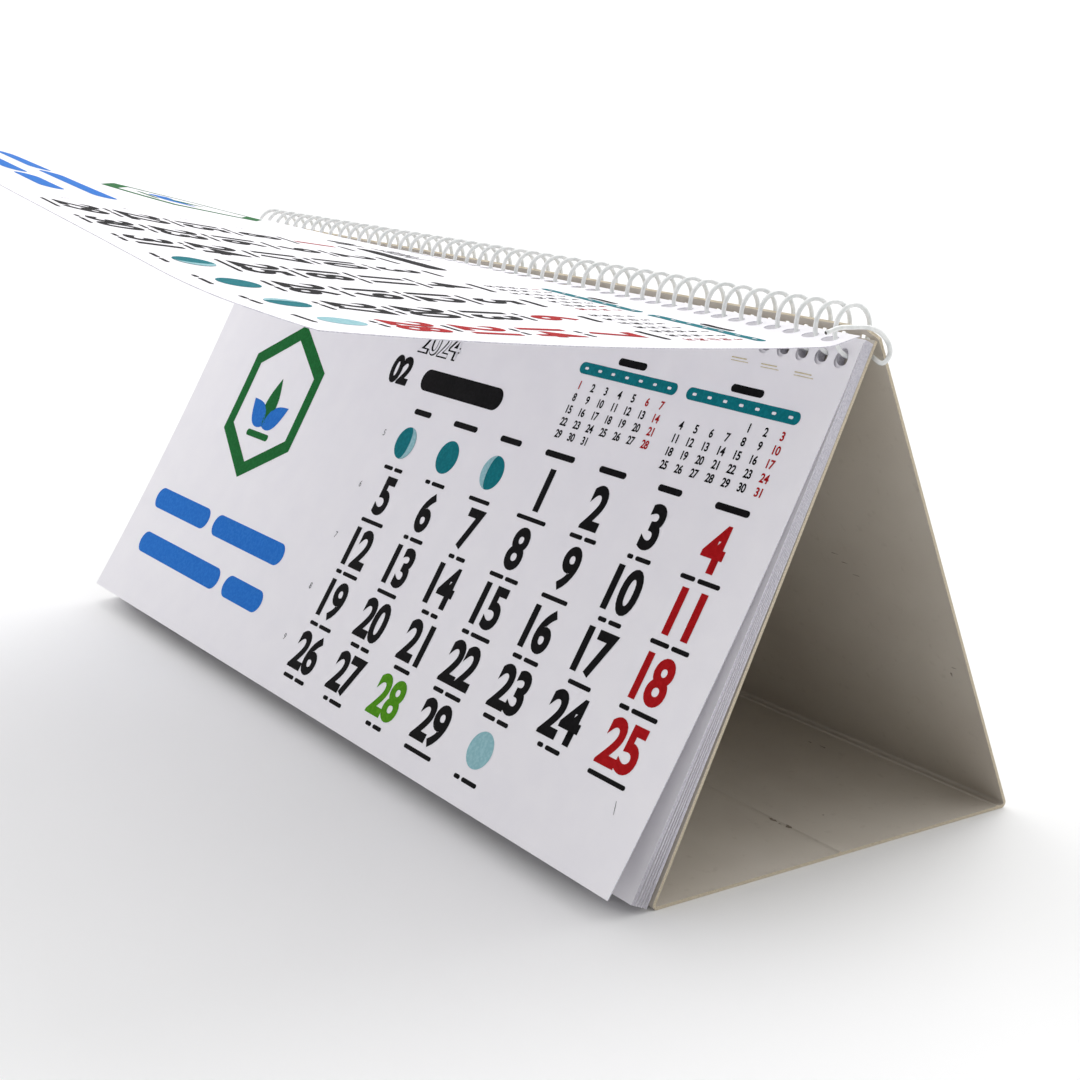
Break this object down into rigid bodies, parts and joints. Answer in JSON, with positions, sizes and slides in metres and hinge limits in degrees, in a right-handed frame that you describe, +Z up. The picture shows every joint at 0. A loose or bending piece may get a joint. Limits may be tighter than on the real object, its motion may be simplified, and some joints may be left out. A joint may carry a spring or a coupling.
{
  "type": "desk calendar",
  "caption": "Free-standing tent desk calendar: folded card stand, punched month leaves and a white spiral coil along the ridge, top leaf lifted.",
  "frame": {"origin": "centre of the stand's base on the table", "axes": "+X along the coil, to the right as the leaves are read; +Y to the back; +Z up"},
  "size_m": [0.2969, 0.1942, 0.1622],
  "materials": {
    "card": "uncoated grey-beige board",
    "leaf_paper": "smooth white leaf paper with print",
    "coated_wire": "white plastic coating on wire"
  },
  "bodies": {
    "stand": {"card_stand": "card", "leaf_block": "leaf_paper", "front_leaf": "leaf_paper", "spiral_coil": "coated_wire"},
    "turned_leaf": {"lifted_leaf": "leaf_paper"}
  },
  "joints": [
    {"name": "leaf_turn", "type": "hinge", "parent": "stand", "child": "turned_leaf", "pos_m": [0, -0.0019, 0.1244], "axis": [-1, 0, 0], "range_deg": [-44, 130]}
  ]
}
